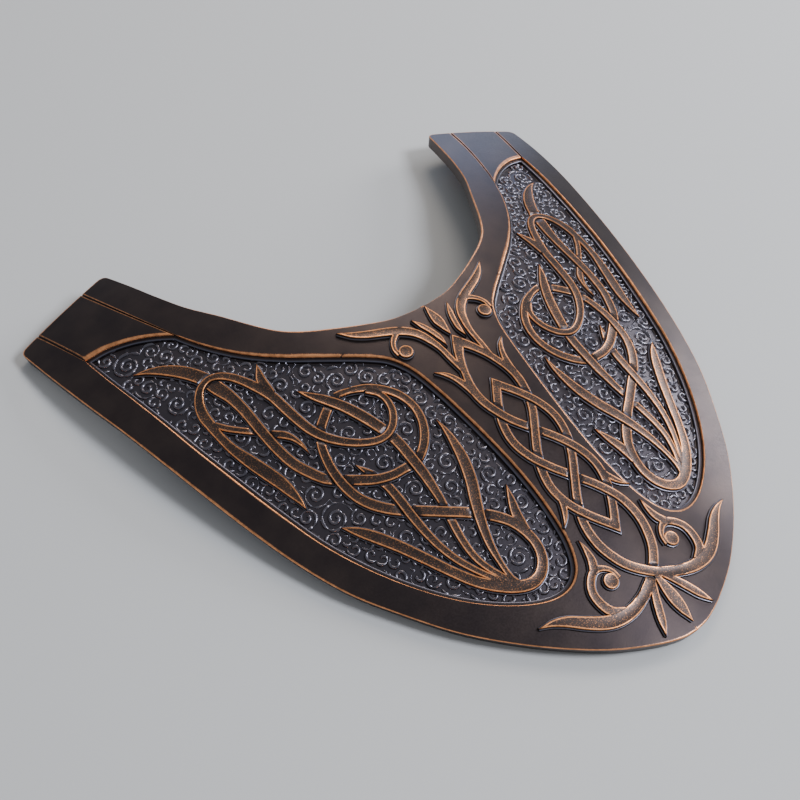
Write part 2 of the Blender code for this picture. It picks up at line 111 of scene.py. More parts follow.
def on_plate(flat, lift):
    """A flat point laid on the bowed front, then moved along the normal by the lift. The
    normal is (minus slope in x, minus slope in y, 1) brought to length 1. Metres."""
    x, y = flat[..., 0], flat[..., 1]
    u = x / HALF_WIDTH
    v = y / DROP
    slope_x = -2 * CROSS_BOW * u * (1.0 - SHOULDER_EASE * v) / HALF_WIDTH
    slope_y = (LONG_SLOPE - 2 * LONG_BOW * v - 3 * LONG_SWEEP * v ** 2
               + CROSS_BOW * SHOULDER_EASE * u ** 2) / DROP
    normal = np.stack([-slope_x, -slope_y, np.ones_like(x)], axis=-1)
    normal /= np.linalg.norm(normal, axis=-1, keepdims=True)
    base = np.stack([x, y, bow(x, y)], axis=-1)
    point = base + normal * np.broadcast_to(lift, x.shape)[..., None]
    return (point - (0.0, MIDDLE, FLOOR)) * 0.001


def run_of(line):
    """Distance along a line up to each of its points."""
    step = np.linalg.norm(np.diff(line[:, :2], axis=0), axis=1)
    return np.concatenate([[0.0], np.cumsum(step)])


def along(line, run):
    """Every column of a line, read at the given distances along it."""
    whole = run_of(line)
    return np.stack([np.interp(run, whole, column) for column in line.T], axis=-1)


def rounded(rows, spacing):
    """Points at an even spacing on a curve through the rows. Each stretch is a cubic that
    leaves each row parallel to the line between that row's neighbours."""
    rows = np.array(rows, dtype=float)
    before = np.vstack([2 * rows[:1] - rows[1:2], rows[:-1]])
    after = np.vstack([rows[1:], 2 * rows[-1:] - rows[-2:-1]])
    lean = (after - before) / 2
    t = (np.arange(40) / 40)[None, :, None]
    curve = (rows[:-1, None] * (2 * t ** 3 - 3 * t ** 2 + 1) + rows[1:, None] * (3 * t ** 2 - 2 * t ** 3)
             + lean[:-1, None] * (t ** 3 - 2 * t ** 2 + t) + lean[1:, None] * (t ** 3 - t ** 2))
    curve = np.vstack([curve.reshape(-1, rows.shape[1]), rows[-1:]])
    length = run_of(curve)[-1]
    return along(curve, np.linspace(0, length, max(3, round(length / spacing) + 1)))


def rightward(line):
    """Unit vector to the right of the way along a line, at each of its points."""
    way = np.gradient(line[:, :2], axis=0)
    way /= np.linalg.norm(way, axis=1, keepdims=True)
    return np.stack([way[:, 1], -way[:, 0]], axis=1)


def quads(rows, columns, start=0, wrap=False):
    """Corner numbers of the faces of a grid of points, row by row."""
    number = start + np.arange(rows * columns).reshape(rows, columns)
    if wrap:
        number = np.concatenate([number, number[:, :1]], axis=1)
    return np.stack([number[:-1, :-1], number[:-1, 1:], number[1:, 1:], number[1:, :-1]],
                    axis=-1).reshape(-1, 4)


# Points of a mesh nearer to each other than this are one point, in metres.
WELD = 2e-6
# A point nearer to the middle plane than this lies in it, in the units of the point.
IN_PLANE = 1e-6


def piece(name, points, faces, wear_and_sheen, finish, mirror=True, sharp=38.0):
    """Mesh object from points, faces and the share of copper at each point, where values below nought are a
    painted bluish sheen, with its mirror image across the middle plane joined to it. Faces that lie in that
    plane are dropped, because mirrored straps meet there."""
    if mirror:
        other = points * (-1.0, 1.0, 1.0)
        faces = np.vstack([faces, faces[:, ::-1] + len(points)])
        points = np.vstack([points, other])
        wear_and_sheen = np.concatenate([wear_and_sheen, wear_and_sheen])
    mesh = bpy.data.meshes.new(name)
    mesh.from_pydata(points.tolist(), [], faces.tolist())
    mesh.attributes.new("wear_and_sheen", "FLOAT", "POINT").data.foreach_set("value", wear_and_sheen.astype(np.float32))
    thing = bpy.data.objects.new(name, mesh)
    bpy.context.scene.collection.objects.link(thing)
    welded = bmesh.new()
    welded.from_mesh(mesh)
    bmesh.ops.remove_doubles(welded, verts=welded.verts, dist=WELD)
    inner = [face for face in welded.faces if all(abs(point.co.x) < IN_PLANE for point in face.verts)]
    bmesh.ops.delete(welded, geom=inner, context="FACES")
    bmesh.ops.recalc_face_normals(welded, faces=welded.faces)
    welded.to_mesh(mesh)
    welded.free()
    mesh.shade_smooth()
    mesh.set_sharp_from_angle(angle=math.radians(sharp))
    mesh.materials.append(finish)
    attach(thing, "root")
    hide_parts("gorget_plate")


# Steel blue that is partly a painted bluish sheen: reflected sky light painted into the colour of ledges,
# cut slopes and the sunk ground.
STEEL_BLUE_SHEEN = (0.115, 0.110, 0.135)


def blackened_copper(name, dark, brown, copper, gloss, speckle):
    """Blackened coppered steel. The copper shows where the wear_and_sheen attribute, roughened by a fine
    noise times the speckle, passes one half, and steel blue with a painted bluish sheen of reflected light
    shows where that attribute is below nought. The patina drifts between two browns in broad clouds. The
    gloss is the roughness that the noise varies a little."""
    finish = bpy.data.materials.new(name)
    finish.use_nodes = True
    nodes, links = finish.node_tree.nodes, finish.node_tree.links
    shader = nodes["Principled BSDF"]
    place = nodes.new("ShaderNodeTexCoord").outputs["Object"]

    def noise(scale, detail):
        """Noise of the given count of grains to a metre."""
        node = nodes.new("ShaderNodeTexNoise")
        node.inputs["Scale"].default_value = scale
        node.inputs["Detail"].default_value = detail
        links.new(place, node.inputs["Vector"])
        return node.outputs["Fac"]

    def ranged(value, low, high, to_low=0.0, to_high=1.0):
        """A value carried from one range to another, smoothly, and held at its ends."""
        node = nodes.new("ShaderNodeMapRange")
        node.interpolation_type = "SMOOTHSTEP"
        links.new(value, node.inputs["Value"])
        for socket, number in zip(("From Min", "From Max", "To Min", "To Max"),
                                  (low, high, to_low, to_high)):
            node.inputs[socket].default_value = number
        return node.outputs["Result"]

    def mixed(share, first, second):
        """Two colours mixed by a share."""
        node = nodes.new("ShaderNodeMix")
        node.data_type = "RGBA"
        links.new(share, node.inputs["Factor"])
        for socket, colour in ((node.inputs[6], first), (node.inputs[7], second)):
            if isinstance(colour, tuple):
                socket.default_value = (*colour, 1.0)
            else:
                links.new(colour, socket)
        return node.outputs[2]

    def sum_of(first, second, factor):
        """The first value plus the second times a factor."""
        node = nodes.new("ShaderNodeMath")
        node.operation = "MULTIPLY_ADD"
        links.new(second, node.inputs[0])
        node.inputs[1].default_value = factor
        links.new(first, node.inputs[2])
        return node.outputs[0]

    wear_and_sheen = nodes.new("ShaderNodeAttribute")
    wear_and_sheen.attribute_name = "wear_and_sheen"
    grain = noise(2600.0, 3.0)
    cloud = noise(70.0, 4.0)
    rough = sum_of(sum_of(wear_and_sheen.outputs["Fac"], grain, speckle), cloud, 0.15)
    bare = ranged(rough, 0.40 + speckle / 2, 0.80 + speckle / 2)
    patina = mixed(ranged(cloud, 0.25, 0.80), dark, brown)
    tarnish = mixed(ranged(noise(420.0, 3.0), 0.35, 0.7), copper, tuple(c * 0.62 for c in copper))
    # Below nought the colour turns to steel blue, a painted bluish sheen.
    blue_sheen = ranged(wear_and_sheen.outputs["Fac"], 0.0, -0.8)
    coppered = mixed(bare, patina, tarnish)
    links.new(mixed(blue_sheen, coppered, STEEL_BLUE_SHEEN), shader.inputs["Base Color"])
    dull = ranged(noise(1600.0, 3.0), 0.3, 0.7, gloss - 0.03, gloss + 0.05)
    links.new(dull, shader.inputs["Roughness"])
    shader.inputs["Metallic"].default_value = 0.92
    shader.inputs["Specular IOR Level"].default_value = 0.5
    bump = nodes.new("ShaderNodeBump")
    bump.inputs["Strength"].default_value = 0.16
    bump.inputs["Distance"].default_value = 0.0001
    links.new(sum_of(noise(1500.0, 5.0), cloud, 0.6), bump.inputs["Height"])
    links.new(bump.outputs["Normal"], shader.inputs["Normal"])
    return finish


# Both loops of the right half start at the bottom and run up the middle, out along the neck
# and back down outside. Matching knots keep a groove on one column of the grid.
neck = rounded(NECK_EDGE, EDGE_SPACING)
rim = rounded(OUTER_EDGE, EDGE_SPACING)
inner_corner, outer_corner = neck[-1], rim[0]


def eased_corner(before, corner, after):
    """Points of a curve round a corner, from one ARM_CORNER before it to one after it: the
    start, the corner and the end, weighed by squares of the share of the way."""
    start = corner + (before - corner) * ARM_CORNER / np.linalg.norm(before - corner)
    end = corner + (after - corner) * ARM_CORNER / np.linalg.norm(after - corner)
    t = np.linspace(0, 1, 17)[:, None]
    return start * (1 - t) ** 2 + corner * 2 * t * (1 - t) + end * t ** 2


def away_from(corner, line):
    """The points of a line that lie further from a corner than its rounding."""
    return line[np.linalg.norm(line - corner, axis=1) > ARM_CORNER]


outer_line = np.vstack([np.linspace((0, -DROP), NECK_EDGE[0], AXIS_POINTS)[:-1],
                        away_from(inner_corner, neck),
                        eased_corner(neck[-2], inner_corner, outer_corner),
                        eased_corner(inner_corner, outer_corner, rim[1]), away_from(outer_corner, rim)])
side = rounded(PANEL_SIDE, PANEL_SPACING)
arc = rounded(PANEL_ARC, PANEL_SPACING)


def found(line, x, y):
    """Distance along a line of its point nearest to x, y."""
    return run_of(line)[np.argmin(np.hypot(line[:, 0] - x, line[:, 1] - y))]


arm_inner, arm_outer = found(outer_line, *NECK_EDGE[-1]), found(outer_line, *OUTER_EDGE[0])
arm_length = arm_outer - arm_inner
first_end = arm_inner + arm_length * FIRST_GROOVE
second_end = arm_inner + arm_length * SECOND_GROOVE
# Columns of the grid between one knot and the next, from the tip up the middle, along the
# neck edge, over the end of the arm and back down to the tip.
COUNTS = np.array([0, 30, 80, 20, 110, 6, 2, 4, 4, 2, 24, 2, 4, 4, 2, 6, 240])
MARKS = np.cumsum(COUNTS)
CUSP, INNER_CORNER, GROOVE_A, GROOVE_B, OUTER_CORNER, LAST = MARKS[[3, 4, 7, 12, 15, 16]]
outer_knots = [0, found(outer_line, 0, -104), found(outer_line, 0, -20.5),
               found(outer_line, *NECK_EDGE[0]),
               arm_inner, first_end - 1.1, first_end - 0.5, first_end, first_end + 0.5,
               first_end + 1.1, second_end - 1.1, second_end - 0.5, second_end, second_end + 0.5,
               second_end + 1.1, arm_outer, run_of(outer_line)[-1]]
outer_loop = along(outer_line, np.interp(np.arange(LAST + 1), MARKS, outer_knots))

# Knots of the panel edge that face those of the outline: up the side line, across the arc at
# the arm and back down the side line to the bottom of the panel.
side_length, arc_length = run_of(side)[-1], run_of(arc)[-1]
bottom = found(side, 24, -113.7)
climb = [bottom, found(side, 17.7, -104), found(side, 21, -20.5), found(side, 31, -6.8),
         side_length - 4.0, side_length - 1.8, side_length - 0.9, side_length]
climb_run = np.interp(np.arange(GROOVE_A + 1), MARKS[:8], climb)
cross_run = np.interp(np.arange(GROOVE_A, GROOVE_B + 1), MARKS[7:13],
                      [0, 0.9, 1.8, arc_length - 1.6, arc_length - 0.8, arc_length])
fall_run = np.interp(np.arange(GROOVE_B, LAST + 1), MARKS[12:], [0, 0.8, 1.6, 4.0, bottom])


def panel_loop(inset):
    """Edge of the panel moved inwards. Each of its two lines is shortened at a corner by the
    inset times the tangent of half the turn there, so that they still meet."""
    ends = [rightward(line[[0, 1]] if first else line[[-2, -1]])[0]
            for line, first in ((side, True), (side, False), (arc, True), (arc, False))]
    turn_near = math.acos(np.dot(ends[1], ends[2]))
    turn_far = math.acos(np.dot(ends[3], ends[0]))
    near, far = inset * math.tan(turn_near / 2), inset * math.tan(turn_far / 2)
    side_right, arc_right = rightward(side), rightward(arc)

    def on_line(line, right, run, start, end, length):
        """Points of one line, squeezed between its two shortened ends and moved inwards."""
        squeezed = start + run * (length - start - end) / length
        return along(line, squeezed) + along(np.hstack([line, right]), squeezed)[:, 2:] * inset

    rise = on_line(side, side_right, climb_run, far, near, side_length)
    over = on_line(arc, arc_right, cross_run, near, far, arc_length)
    down = on_line(side, side_right, fall_run, far, near, side_length)
    return np.vstack([rise[:-1], over[:-1], down])


inner_loop = panel_loop(0.0)
column = np.arange(LAST + 1)
reach = inner_loop - outer_loop
width = np.linalg.norm(reach, axis=1)
inward = reach / width[:, None]
on_edge = (column >= CUSP) | (column == 0)
groove = np.maximum(np.clip(1 - abs(column - GROOVE_A) / 4, 0, 1),
                    np.clip(1 - abs(column - GROOVE_B) / 4, 0, 1))
lip = np.maximum(np.clip(1 - abs(abs(column - GROOVE_A) - 4.5) / 1.4, 0, 1),
                 np.clip(1 - abs(abs(column - GROOVE_B) - 4.5) / 1.4, 0, 1))
sway = GROOVE_SWAY * np.exp(-((column - GROOVE_A) / 14.0) ** 2)

share = np.linspace(0, 1, BORDER_ROWS + 2)[1:-1]
edge_end = EDGE_ROWS[-1, 0]
edge_reach = EDGE_ROWS[:, 0][:, None] * np.ones(len(column))
middle_reach = edge_end + share[:, None] * (width - 2 * edge_end)
gap = np.vstack([width - edge_reach, middle_reach[::-1], edge_reach[::-1]])
dip = np.concatenate([EDGE_ROWS[:, 1], np.zeros(len(share)), EDGE_ROWS[::-1, 1]])[:, None]
outside = np.arange(len(gap))[:, None] >= len(EDGE_ROWS)
nick_column = np.argmin(np.hypot(*(inner_loop - NICK_AT).T))
nick = np.clip(1 - (width - gap) / NICK_REACH, 0, 1) * (column == nick_column)
dip = dip * np.where(outside, on_edge[None, :], True) + groove * GROOVE_DEPTH + nick * NICK_DEPTH
front = outer_loop + inward * gap[..., None]
front[..., 0] += 4 * (gap / width) * (1 - gap / width) * sway

# Copper of the front: the rubbed edge is widened by a painted highlight at the arm end of the panel and on
# its neck side, and bare on the lips of the grooves.
middle_tone = np.full(len(share), BORDER_TONE)
tone = np.concatenate([EDGE_ROWS[:, 2], middle_tone, EDGE_ROWS[::-1, 3]])[:, None]
tone = np.where(outside & ~on_edge, BORDER_TONE, tone)
shoulder = np.interp(column, [GROOVE_A, GROOVE_A + 3, GROOVE_B - 3, GROOVE_B], [0, 1, 1, 0], 0, 0)
# Painted highlight: the copper band is widened where light glints on the rounded edge at the arm end and on
# the neck side.
broad_highlight = np.interp(width - gap, [0.0, 1.1, 2.4, 4.5], [0.9, 0.8, 0.3, 0.0])
tone = np.maximum(tone, broad_highlight * shoulder)
neckward = np.interp(column, [MARKS[2] - 10, CUSP, GROOVE_A, GROOVE_A + 3], [0, 1, 1, 0], 0, 0)
narrow_highlight = np.interp(width - gap, [0.0, 0.6, 1.1, 2.2], [0.9, 0.85, 0.45, 0.0])
tone = np.maximum(tone, narrow_highlight * neckward)
tone = np.maximum(tone * (1 - groove * 0.8), lip * 0.85) * (1 - nick)
front_points = on_plate(front, -dip)

step_points = [front_points[0]]
step_tone = [tone[0]]
for inset, depth, bright in STEP_ROWS:
    step_points.append(on_plate(panel_loop(inset), -depth))
    step_tone.append(np.full(LAST + 1, bright))
step_points, step_tone = np.array(step_points), np.array(step_tone)

# Panel ground: straight lines from the middle side of the panel to its outer side, cut in the
# shares in which the columns divide the arc at the arm.
last_loop = panel_loop(STEP_ROWS[-1][0])
arc_share = run_of(last_loop[GROOVE_A:GROOVE_B + 1])
arc_share = (arc_share / arc_share[-1])[None, :, None]
near_side = last_loop[:GROOVE_A + 1, None]
far_side = last_loop[:GROOVE_B - 1:-1, None]
ground = near_side + (far_side - near_side) * arc_share
ground[-1] = last_loop[GROOVE_A:GROOVE_B + 1]
ground_points = on_plate(ground, -GROUND_DEPTH)

# Rim and plain back: the rim drops square, with a small round at the back. Distance
# inwards, depth, copper.
RIM_ROWS = [(0.0, 1.1, 0.06), (0.0, 2.6, 0.02), (0.0, 4.2, 0.04), (0.05, 4.75, 0.3),
            (0.35, THICKNESS, 0.25)]
turned_in = inward.copy()
turned_in[CUSP] = (0.0, -1.0)
turned_in[[0, LAST]] = (0.0, 1.0)
rim_points = [front_points[-1, CUSP:]]
rim_tone = [tone[-1, CUSP:]]
for inset, depth, bright in RIM_ROWS:
    flat = outer_loop[CUSP:] + turned_in[CUSP:] * inset
    rim_points.append(on_plate(flat, -depth))
    rim_tone.append(np.full(len(flat), bright))
rim_points, rim_tone = np.array(rim_points), np.array(rim_tone)
back_loop = outer_loop + turned_in * np.where(on_edge, RIM_ROWS[-1][0], 0.0)[:, None]
arm_share = run_of(back_loop[INNER_CORNER:OUTER_CORNER + 1])
arm_share = (arm_share / arm_share[-1])[None, :, None]
neck_side = back_loop[:INNER_CORNER + 1, None]
rim_side = back_loop[:OUTER_CORNER - 1:-1, None]
back = neck_side + (rim_side - neck_side) * arm_share
back[-1] = back_loop[INNER_CORNER:OUTER_CORNER + 1]
back_points = on_plate(back, -THICKNESS)

grids = [(front_points, tone * np.ones_like(gap)), (step_points, step_tone),
         (ground_points, np.full(ground.shape[:2], GROUND_TONE)), (rim_points, rim_tone),
         (back_points, np.full(back.shape[:2], BACK_TONE))]
plate_points, plate_tone, plate_faces = [], [], []
for grid, shade in grids:
    start = sum(len(block) for block in plate_points)
    plate_faces.append(quads(*grid.shape[:2], start))
    plate_points.append(grid.reshape(-1, 3))
    plate_tone.append(shade.reshape(-1))
blackened = blackened_copper("blackened_plate", (0.040, 0.030, 0.030), (0.064, 0.046, 0.041),
                             (0.90, 0.38, 0.16), 0.36, 0.5)
piece("plate", np.vstack(plate_points), np.vstack(plate_faces), np.concatenate(plate_tone), blackened)

# Panel interlace: flat bands left standing on the ground of each panel, each with a low ledge
# at its foot and rubbed edges. Where two cross, the lower one is cut off in a bevel.
STRAP_WIDTH = 3.6
PANEL_TOP = -1.0
PANEL_STEP, BRAID_STEP = 0.8, 0.6
# End of a strap: how far its last point stands out, how deep it lies under the foot, and the
# stations near it that the middle plane may cut off.
CAP_REACH = 0.5
CAP_DROP = 0.15
CUT_STATIONS = 12
# Crossing: reach in strap widths, gap beside the upper strap, length and copper of the slope down to the
# stub of the lower one, whose tone below nought is a painted bluish reflection, height of the stub in shares
# of the strap.
CROSSING_REACH = 2.6
CUT_GAP, CUT_LENGTH = 0.10, 0.85
CUT_SHEEN_TONE = -0.6
STUB_HEIGHT = 0.30
# Join: how far the later strap sinks. Copper of the flat of every strap.
JOIN_SINK = 0.05
FLAT_TONE = 0.30
# Middle line of each strap of the right panel: x, y, width in shares of STRAP_WIDTH.
PANEL_STRAPS = {
    "ring": [(81.5, -40.5, 0), (81.5, -37, 0.45), (82.1, -32, 0.95), (83, -27, 1.2),
             (84.7, -21, 1.28), (86.8, -14, 1.2), (88.8, -6.5, 0.95), (89.7, 0.5, 0.85),
             (89.8, 6.5, 1), (89.7, 11.5, 1.08), (88.2, 16.5, 0.95), (85, 21, 0.78),
             (80.8, 22.7, 0.7), (77, 21.4, 0.78), (73.8, 18, 0.85), (71.3, 13.5, 0.9),
             (69.4, 9, 0.98), (67.8, 4.5, 1.02), (66.8, 0.5, 1.03), (66.1, -5.5, 1.03),
             (65.3, -11.5, 1), (64.1, -17.5, 0.95), (61.8, -23, 0.92), (58.3, -28, 0.85),
             (54, -32.2, 0.78), (49, -35.3, 0.75), (44.5, -36.1, 0.74), (40.3, -34.3, 0.76),
             (37.1, -30.3, 0.72), (35.8, -25.5, 0.68), (36.5, -21.3, 0.68), (39.3, -17.5, 0.7)],
    "crescent": [(43.5, -14.1, 0.66), (38.5, -16.7, 0.78), (33.8, -21.3, 0.84),
                 (30.7, -26.5, 0.84), (29.5, -32.5, 0.8), (30.5, -38.5, 0.84),
                 (33.5, -44, 0.9), (38, -48.3, 0.9), (42.5, -50.1, 0.9), (46.5, -49.8, 0.9),
                 (51.5, -49.1, 0.9), (56.5, -47.1, 0.95), (61, -44, 1), (66, -40, 1),
                 (70.3, -36, 0.95), (73.3, -30.5, 1), (75.8, -24, 1), (77.1, -15.5, 1),
                 (77.5, -6.5, 1.02), (77.6, 2.5, 1.05), (78.3, 10.5, 1.18), (79.8, 17, 1.42),
                 (81, 22, 1.45), (82.6, 26.5, 1.42), (85.8, 32, 1.38), (90, 37, 1.15),
                 (94.5, 40.8, 0.65), (99.5, 43.5, 0)],
    "serpent": [(39.5, -16.5, 0.66), (44.5, -13.9, 0.66), (49.5, -12.8, 0.78),
                (54, -14.8, 0.9), (58, -17.5, 0.95), (61.5, -20.5, 0.95), (64.5, -25.5, 0.85),
                (66, -30.5, 0.88), (66.8, -35.5, 0.9), (66.8, -41.5, 0.95), (65.8, -47.5, 0.95),
                (63.3, -53, 1), (59.5, -58, 1), (55.3, -62, 1), (50.5, -65.8, 1),
                (45, -70.2, 1), (39.5, -74.5, 1), (35.5, -78, 1.02), (32, -81.5, 1.05),
                (28.7, -86, 1), (26.8, -91.5, 0.95), (26.4, -97, 0.95), (28, -102, 1),
                (31.5, -105.5, 1.06), (36, -106.5, 1.1), (41, -104.5, 1.12), (46, -100.5, 1.1),
                (51, -95, 1), (55.5, -87.5, 0.95), (59.8, -79, 1), (64.5, -70, 1.05),
                (69, -62.5, 1.05), (72.8, -57, 0.72), (76, -53, 0)],
    "bridge": [(59, -2.5, 0), (56, -7.5, 0.68), (53, -12, 1), (49.8, -17.5, 1.1),
               (47, -24, 1.16), (44.8, -30.5, 1.12), (43.3, -36, 1.06), (42.5, -41.5, 1.05),
               (42.4, -48.5, 1.05), (42.5, -55.5, 1), (43.1, -62.5, 0.85), (43.8, -68, 0.74),
               (45, -74, 0.76), (46.2, -81.5, 0.72), (46.3, -88.5, 0.66), (44.8, -94.5, 0.6),
               (42.3, -100, 0.6), (40.5, -103.5, 0.6)],
    "stem": [(59.5, -38.3, 0), (57.8, -42.5, 0.55), (56.3, -46.5, 0.84), (55.1, -51.5, 0.84),
             (54.8, -57.5, 0.88), (54.8, -64.5, 0.88), (54.5, -71.5, 0.8), (53.5, -79, 0.72),
             (51.5, -86, 0.66), (48.5, -92.5, 0.6), (45, -98.5, 0.6), (42, -102.5, 0.6)],
    "blade": [(26.3, -41.5, 0), (26.1, -46.5, 0.45), (26.7, -52.5, 0.85), (28.1, -59.5, 1.12),
              (30.8, -67, 1.17), (34.3, -74, 1.12), (37.3, -81, 0.95), (39.5, -88, 0.78),
              (40.5, -94.5, 0.56), (40.8, -100.5, 0.56), (40, -103.5, 0.56)],
    "spur": [(21.5, -74.7, 0), (23.5, -80, 0.68), (25.5, -85.5, 1), (26.4, -91.5, 0.9)],
    "fork": [(66.7, 3, 0.95), (66.2, 9.5, 0.95), (64.8, 13.5, 0.5), (63.7, 16.3, 0)],
    "twig": [(88.6, 5.5, 0.6), (86, 1.5, 0.62), (83.5, -1.5, 0.62), (80.8, -4.5, 0.6),
             (77.5, -8, 0.6), (74.3, -11.5, 0.72), (72, -14, 0.76), (70.3, -17.3, 0.5),
             (69.5, -21, 0.3), (69.4, -25, 0)],
}
# Upper strap, lower strap, x, y.
PANEL_CROSSINGS = [
    ("bridge", "serpent", 51.5, -13.5), ("ring", "serpent", 62.5, -22),
    ("ring", "bridge", 43.3, -36), ("bridge", "crescent", 42.4, -50),
    ("crescent", "stem", 56.2, -47.3), ("serpent", "crescent", 66.8, -39.5),
    ("stem", "serpent", 54.8, -62.5), ("serpent", "bridge", 44.3, -70.7),
    ("blade", "serpent", 36, -77.6), ("ring", "crescent", 81, 22.2),
    ("crescent", "twig", 77.5, -8),
]
# Half section of a strap from the foot up to the crown: distance beyond the half width, height from foot (0)
# to top (1), copper. The tones below nought on the ledge at the foot are a painted bluish sheen of light.
STRAP_SECTION = np.array([(0.66, -0.15, 0.0), (0.58, 0.36, 0.0), (0.46, 0.46, -0.8),
                          (0.28, 0.49, -0.5), (0.16, 0.50, 0.0), (0.06, 0.82, 0.10),
                          (-0.04, 0.95, 0.95), (-0.14, 1.0, 1.0), (-0.36, 1.0, 0.90),
                          (-0.50, 0.975, 0.34), (-9.0, 1.0, FLAT_TONE)])


def depth_inside(flat, line):
    """How far points lie inside a strap: its half width at the nearest station, less the
    distance to that station's middle. Negative outside."""
    away = np.hypot(flat[..., 0, None] - line[:, 0], flat[..., 1, None] - line[:, 1])
    return np.max(line[:, 2] - away, axis=-1)


def strap_points(line, foot, top):
    """Section carried along a strap's middle line: points go sideways by the half width plus
    the section's reach. A last station at each end closes it. Gives flat, lift and copper."""
    right = rightward(line)
    half = line[:, 2][:, None]
    beyond = np.maximum(half + STRAP_SECTION[:, 0], np.minimum(half * 0.15, 0.05))
    beyond[:, -1] = 0.0
    across = np.concatenate([beyond, -beyond[:, -2::-1]], axis=1)
    rise = np.concatenate([STRAP_SECTION[:, 1], STRAP_SECTION[-2::-1, 1]])
    bright = np.concatenate([STRAP_SECTION[:, 2], STRAP_SECTION[-2::-1, 2]])
    flat = line[:, None, :2] + right[:, None] * across[..., None]
    way = np.stack([-right[:, 1], right[:, 0]], axis=1)
    # A strap that ends on the middle plane is cut off there: points past the plane slide back
    # to it along the strap.
    for end, near in ((0, slice(0, CUT_STATIONS)), (-1, slice(-CUT_STATIONS, None))):
        if abs(line[end, 0]) < IN_PLANE and abs(way[end, 0]) > 0.2:
            side_sign = np.sign(line[near, 0].sum())
            past = flat[near, :, 0] * side_sign < 0
            past[end] = True
            slide = flat[near, :, 0] / way[near, 0][:, None]
            flat[near] -= np.where(past, slide, 0.0)[..., None] * way[near][:, None]
    # Points that meet at a pointed end are one point, at full height.
    lift = foot + (top - foot) * np.where(across == 0, 1.0, rise)
    copper = np.broadcast_to(bright, flat.shape[:2]).copy()
    free_end = abs(line[[0, -1], :1]) > IN_PLANE
    caps = line[[0, -1], :2] + way[[0, -1]] * np.array([[-CAP_REACH], [CAP_REACH]]) * free_end
    cap_flat = np.repeat(caps[:, None], flat.shape[1], axis=1)
    flat = np.concatenate([cap_flat[:1], flat, cap_flat[1:]])
    low = np.full((1, flat.shape[1]), foot - CAP_DROP)
    lift = np.concatenate([low, lift, low])
    copper = np.concatenate([copper[:1] * 0, copper, copper[:1] * 0])
    return flat, lift, copper


def woven(rows, crossings, foot, top, spacing):
    """All straps of one set. A lower strap slopes down to a low stub beside the upper one,
    from CUT_GAP off it and over CUT_LENGTH. Where straps join, the copper edge fades and the
    later one sinks a hair, but not on the middle line, where mirrored straps meet."""
    lines = {name: rounded(line, spacing) for name, line in rows.items()}
    for line in lines.values():
        line[:, 2] = np.maximum(line[:, 2], 0) * STRAP_WIDTH / 2
    order = list(lines)
    points, faces, wear_and_sheen = [], [], []
    total = 0
    for number, name in enumerate(order):
        flat, lift, copper = strap_points(lines[name], foot, top)
        stub = foot + (top - foot) * STUB_HEIGHT
        for other_number, other in enumerate(order):
            if other == name:
                continue
            line = lines[other]
            inside = depth_inside(flat, line)
            free = np.ones(flat.shape[:2])
            for upper, lower, x, y in crossings:
                if {upper, lower} != {name, other}:
                    continue
                near = np.hypot(flat[..., 0] - x, flat[..., 1] - y) < CROSSING_REACH * STRAP_WIDTH
                free = np.where(near, 0.0, free)
                if lower == name:
                    keep = np.clip((-inside - CUT_GAP) / CUT_LENGTH, 0, 1)
                    cut = stub + (lift - stub) * keep
                    lift = np.where(near & (lift > stub), cut, lift)
                    # The slope of the cut gets a painted bluish reflection.
                    copper = np.where(near & (keep < 1) & (keep > 0), CUT_SHEEN_TONE, copper)
                    copper = np.where(near & (keep == 0), 0.0, copper)
            joined = np.clip(inside / 0.3 + 0.4, 0, 1) * free
            copper = np.where(lift > top - 0.5, copper + (FLAT_TONE - copper) * joined, copper)
            if other_number < number:
                off_axis = abs(flat[..., 0]) > IN_PLANE
                lift = lift - JOIN_SINK * joined * (lift > top - 0.3) * off_axis
        faces.append(quads(*flat.shape[:2], total, wrap=True))
        points.append(on_plate(flat, lift).reshape(-1, 3))
        wear_and_sheen.append(copper.reshape(-1))
        total += len(points[-1])
    return np.vstack(points), np.vstack(faces), np.concatenate(wear_and_sheen)


rubbed = blackened_copper("rubbed_straps", (0.050, 0.037, 0.033), (0.085, 0.060, 0.050),
                          (0.90, 0.37, 0.145), 0.36, 1.10)
piece("panel_interlace", *woven(PANEL_STRAPS, PANEL_CROSSINGS, -GROUND_DEPTH, PANEL_TOP, PANEL_STEP), rubbed)

# Middle braid: four strands of the same raised band, woven down the middle of the plate, cut
# from the plate in the same way as the panel interlace.
BRAID_FOOT = -0.1
BRAID_RISE = 1.5
INNER_STRAND = [(0, -20.7, 1.15), (3, -25, 0.95), (5.3, -29.5, 0.8), (7, -34, 0.75),
                (8.6, -39, 0.9), (9, -44, 0.92), (8, -49.5, 0.88), (5, -57, 0.86),
                (0, -64.3, 0.86), (-5.1, -71.5, 0.86), (-8.8, -78.7, 0.86), (-10.2, -85.9, 0.86),
                (-8.8, -93.1, 0.86), (-5.1, -100.3, 0.86), (0, -107.5, 0.9)]
OUTER_STRAND = [(0, -42.7, 0.9), (5.1, -49.9, 0.86), (8.8, -57.1, 0.86), (10.2, -64.3, 0.86),
                (8.8, -71.5, 0.86), (5.1, -78.7, 0.86), (0, -85.9, 0.86), (-5.1, -93.1, 0.86),
                (-8.8, -100.3, 0.88), (-9.9, -107.5, 0.92), (-8.9, -114, 0.94),
                (-5.8, -120.7, 0.94), (0, -126.7, 0.94), (5.5, -130.2, 0.96), (10.5, -132, 1)]
